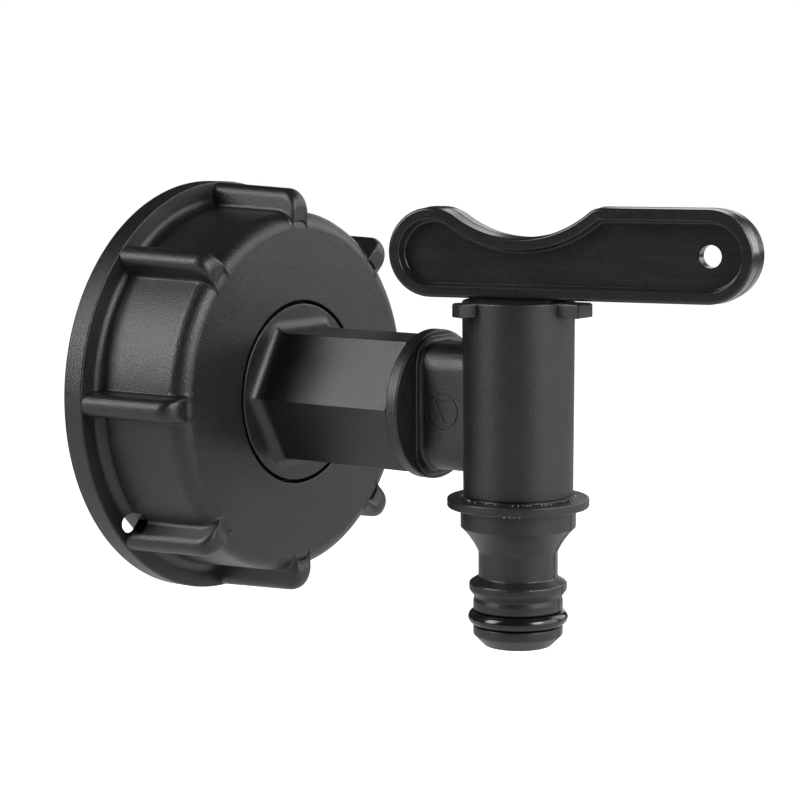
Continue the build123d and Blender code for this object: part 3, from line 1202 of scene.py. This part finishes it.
# Lever
# A glossy black blade of I section with a finger scoop at its tail and a hole for a ring at its
# tip. It is one moulding with the stem that turns in the barrel.
lever_turn = math.radians(13.4)
lever_foot = 19.62
lever_height = 16.2
lever_reach = 42.7
lever_tail = 23.1
tail_height = 15.9
lever_thickness = 8.0
lever_draft = math.radians(1.5)
rim_width = 2.2
web_thickness = 3.5
recess_slope = math.radians(4)
recess_fillet = 0.3
lever_edge = 0.5
scoop_r = 20.0
scoop_drop = 5.45
scoop_fillet = 3.6
key_hole_r = 1.95
tip_r = lever_height / 2
tail_r = tail_height / 2
lever_top = lever_foot + lever_height
tip_centre = Vector((lever_reach - tip_r, lever_foot + tip_r))
tail_centre = Vector((tail_r - lever_tail, lever_foot + tail_r))
scoop_height = lever_top - scoop_drop + scoop_r
scoop_reach = scoop_r + tail_r
scoop_back = math.sqrt(scoop_reach**2 - (scoop_height - tail_centre.y) ** 2)
scoop_centre = Vector((tail_centre.x + scoop_back, scoop_height))
kink_rise = scoop_height - lever_top + scoop_fillet
kink_x = scoop_centre.x + math.sqrt((scoop_r + scoop_fillet) ** 2 - kink_rise**2)
kink_centre = Vector((kink_x, lever_top - scoop_fillet))


def arc(centre, radius, start, swing, steps, outward):
    """Points of an arc with the outward direction at each."""
    points = []
    for step in range(steps + 1):
        heading = toward(start + swing * step / steps)
        points.append((centre + heading * radius, heading * outward))
    return points


def straight(first, last, steps, outward):
    """Points between two others, with one outward direction for all."""
    return [(first.lerp(last, step / steps), outward) for step in range(1, steps)]


up = Vector((0, 1))
tail_to_scoop = (scoop_centre - tail_centre).normalized()
tangent_angle = math.atan2(tail_to_scoop.y, tail_to_scoop.x)
kink_dir = (scoop_centre - kink_centre).normalized()
kink_angle = math.atan2(kink_dir.y, kink_dir.x)
scoop_start = math.atan2(-kink_dir.y, -kink_dir.x)
scoop_end = math.atan2(-tail_to_scoop.y, -tail_to_scoop.x)
edge_line = arc(tip_centre, tip_r, -math.pi / 2, math.pi, 48, 1)
edge_line += straight(tip_centre + up * tip_r, kink_centre + up * scoop_fillet, 14, up)
edge_line += arc(kink_centre, scoop_fillet, math.pi / 2, kink_angle - math.pi / 2, 8, 1)
edge_line += arc(scoop_centre, scoop_r, scoop_start, scoop_end - scoop_start, 30, -1)[1:-1]
edge_line += arc(tail_centre, tail_r, tangent_angle, 1.5 * math.pi - tangent_angle, 44, 1)
edge_line += straight(tail_centre - up * tail_r, tip_centre - up * tip_r, 40, -up)

half_thickness = lever_thickness / 2
half_web = web_thickness / 2
recess_depth = half_thickness - half_web
inner_edge = 0.25
line_proud = 0.06
wall_angle = math.pi / 2 - recess_slope
wall_foot = recess_depth * math.tan(recess_slope)
# Half of the blade's section: how far from the middle, and how far out from the blade's outline.
# It starts on the parting line, which stands a little proud
profile = [(0.0, 0.0), (0.06, 0.0), (0.1, -0.05), (0.16, -line_proud)]
profile.append((half_thickness - lever_edge, -line_proud))
for angle in quarter_circle(5)[1:]:
    inset = line_proud + lever_edge * (1 - math.cos(angle))
    profile.append((half_thickness - lever_edge * (1 - math.sin(angle)), -inset))
profile.append((half_thickness, -rim_width + inner_edge))
for step in range(1, 5):
    angle = wall_angle * step / 4
    across = half_thickness - inner_edge * (1 - math.cos(angle))
    profile.append((across, -rim_width + inner_edge * (1 - math.sin(angle))))
for step in range(7):
    steep = wall_angle - wall_angle * step / 6
    inwards = recess_fillet * (math.sin(wall_angle) - math.sin(steep))
    rise = recess_fillet * (1 - math.cos(steep))
    profile.append((half_web + rise, -rim_width - wall_foot - inwards))
profile.append((half_web, profile[-1][1] - 0.25))


def lever_place(along, height, across):
    """A point of the lever in the frame, from its place on the blade."""
    turn = lever_turn - math.pi / 2
    x = along * math.cos(turn) - across * math.sin(turn)
    y = along * math.sin(turn) + across * math.cos(turn)
    return Vector((x, axis_y + y, height))


side_rows = {}
for side in (1, -1):
    rows = []
    for across, inset in profile:
        draft = across * math.tan(lever_draft) if inset > -rim_width / 2 else 0
        row = []
        for point, outward in edge_line:
            place = point + outward * (inset - draft)
            row.append(lever_place(place.x, place.y, across * side))
        rows.append(row)
    side_rows[side] = rows
blade = skin("blade", list(reversed(side_rows[-1])) + side_rows[1][1:])
key_hole_rings = []
for across, grow in (
    (-half_web - 1, 0.25),
    (-half_web, 0.2),
    (-half_web + 0.25, 0),
    (half_web - 0.25, 0),
    (half_web, 0.2),
    (half_web + 1, 0.25),
):
    radius = key_hole_r + grow
    ring = []
    for angle in full_circle(56):
        along = tip_centre.x + radius * math.cos(angle)
        height = tip_centre.y + radius * math.sin(angle)
        ring.append(lever_place(along, height, across))
    key_hole_rings.append(ring)
key_hole = skin("key_hole", key_hole_rings)

# The stem has seats for its two rings, a flat-sided neck, a stop and a square hole for the rotor
stem_r = 7.32
stem_foot = 6.6
stem_top = 19.0
stem_edge = 0.12
ring_core_r = 5.57
ring_seat_half = 0.99
neck_half = 3.5
stem_neck_heights = (18.5, 20.4)
stop_half_angle = 10
stop_steps = 12
drive_half = 3.05
drive_heights = (6.0, 11.65)
stem_outline = [(0.3, stem_foot), (stem_r, stem_foot)]
for z in (lower_ring_z, upper_ring_z):
    low, high = z - ring_seat_half, z + ring_seat_half
    stem_outline += [(stem_r, low), (ring_core_r, low), (ring_core_r, high), (stem_r, high)]
stem_outline += [(stem_r, stem_top), (0.3, stem_top)]
stem = turned_upright("stem", rounded([(*point, stem_edge) for point in stem_outline]), 96)
stem_neck_rings = []
for z in stem_neck_heights:
    ring = []
    for angle in full_circle(96):
        x = max(-neck_half, min(neck_half, stem_r * math.cos(angle)))
        ring.append(lever_place(-stem_r * math.sin(angle), z, x))
    stem_neck_rings.append(ring)
stem_neck = skin("stem_neck", stem_neck_rings)
stop_outline = ((5.0, 17.2), (8.4, 17.2), (8.5, 17.3), (8.5, 18.9), (8.4, 19.0), (5.0, 19.0))
stop_rings = []
for step in range(stop_steps + 1):
    angle = math.radians(-stop_half_angle + 2 * stop_half_angle * step / stop_steps)
    stop_rings.append(
        [lever_place(r * math.cos(angle), z, r * math.sin(angle)) for r, z in stop_outline]
    )
stop = skin("stop", stop_rings)
drive_corners = rectangle(drive_half, -drive_half, drive_half, -drive_half)
drive_rings = [[lever_place(a, z, b) for a, b in drive_corners] for z in drive_heights]
drive = skin("drive", drive_rings)
lever_plastic = plastic(
    "lever_plastic",
    (0.0135, 0.0135, 0.014),
    roughness=0.23,
    fineness=2400,
    grain_depth=0.002,
    mottle=0.12,
    dust_amount=0.003,
    uneven=0.015,
    streak=0.045,
)
lever = joined(
    "lever_moulding", [blade, stem, stem_neck, stop], [key_hole, drive], lever_plastic
)
smoothed(lever, "lever", sharp_from=30)
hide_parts("lever_handle")


# Floor and light
# A pale floor well below the tap, and soft lamps round it. The camera sees plain white, as in the
# photograph, and the floor keeps the tap's shadow.
floor_height = -0.16
floor_half = 3
fill_light = 0.035
lamp_distance = 1.0
lit_point = Vector((0, -0.045, 0))
floor_mesh = bmesh.new()
bmesh.ops.create_grid(floor_mesh, x_segments=1, y_segments=1, size=floor_half)
floor_data = bpy.data.meshes.new("floor")
floor_mesh.to_mesh(floor_data)
floor_mesh.free()
floor = put_in_scene("floor", floor_data)
floor.location.z = floor_height
paper = bpy.data.materials.new("pale_paper")
paper.use_nodes = True
paper_tree = paper.node_tree
paper_shader = paper_tree.nodes["Principled BSDF"]
paper_place = object_place(paper_tree)
paper_tone = remap(paper_tree, noise_node(paper_tree, paper_place, 40, 4), 0.3, 0.7, 0.84, 0.88)
paper_tree.links.new(paper_tone, paper_shader.inputs["Base Color"])
paper_shader.inputs["Roughness"].default_value = 0.9
from_middle = add_node(paper_tree, "ShaderNodeVectorMath", {0: paper_place}, operation="LENGTH")
white_out = remap(paper_tree, from_middle.outputs["Value"], 0.15, 0.7, 0.72, 1)
seen = add_node(paper_tree, "ShaderNodeLightPath").outputs["Is Camera Ray"]
paper_glow = calculate(paper_tree, "MULTIPLY", white_out, seen)
paper_tree.links.new(paper_glow, paper_shader.inputs["Emission Strength"])
paper_shader.inputs["Emission Color"].default_value = (1, 1, 1, 1)
floor.data.materials.append(paper)

world = bpy.data.worlds.new("studio")
bpy.context.scene.world = world
world.use_nodes = True
sky = world.node_tree.nodes["Background"]
seen = add_node(world.node_tree, "ShaderNodeLightPath").outputs["Is Camera Ray"]
brightness = remap(world.node_tree, seen, 0, 1, fill_light, 1)
world.node_tree.links.new(brightness, sky.inputs["Strength"])
sky.inputs["Color"].default_value = (1, 1, 1, 1)

for name, azimuth, elevation, width, height, power in (
    ("left_softbox", -124, 28, 0.4, 0.75, 8.8),
    ("right_softbox", 13, 20, 1.35, 0.75, 9.0),
    ("far_softbox", 72, 22, 0.5, 0.75, 3.0),
    ("front_softbox", -6, 27, 0.35, 0.35, 4.0),
    ("edge_light", 112, 8, 0.25, 0.8, 0.8),
):
    away = seen_from(azimuth, elevation)
    light = bpy.data.lights.new(name, "AREA")
    light.shape = "RECTANGLE"
    light.size = width
    light.size_y = height
    light.energy = power
    lamp = put_in_scene(name, light)
    facing = away.to_track_quat("Z", "Y").to_matrix().to_4x4()
    lamp.matrix_world = Matrix.Translation(lit_point + away * lamp_distance) @ facing
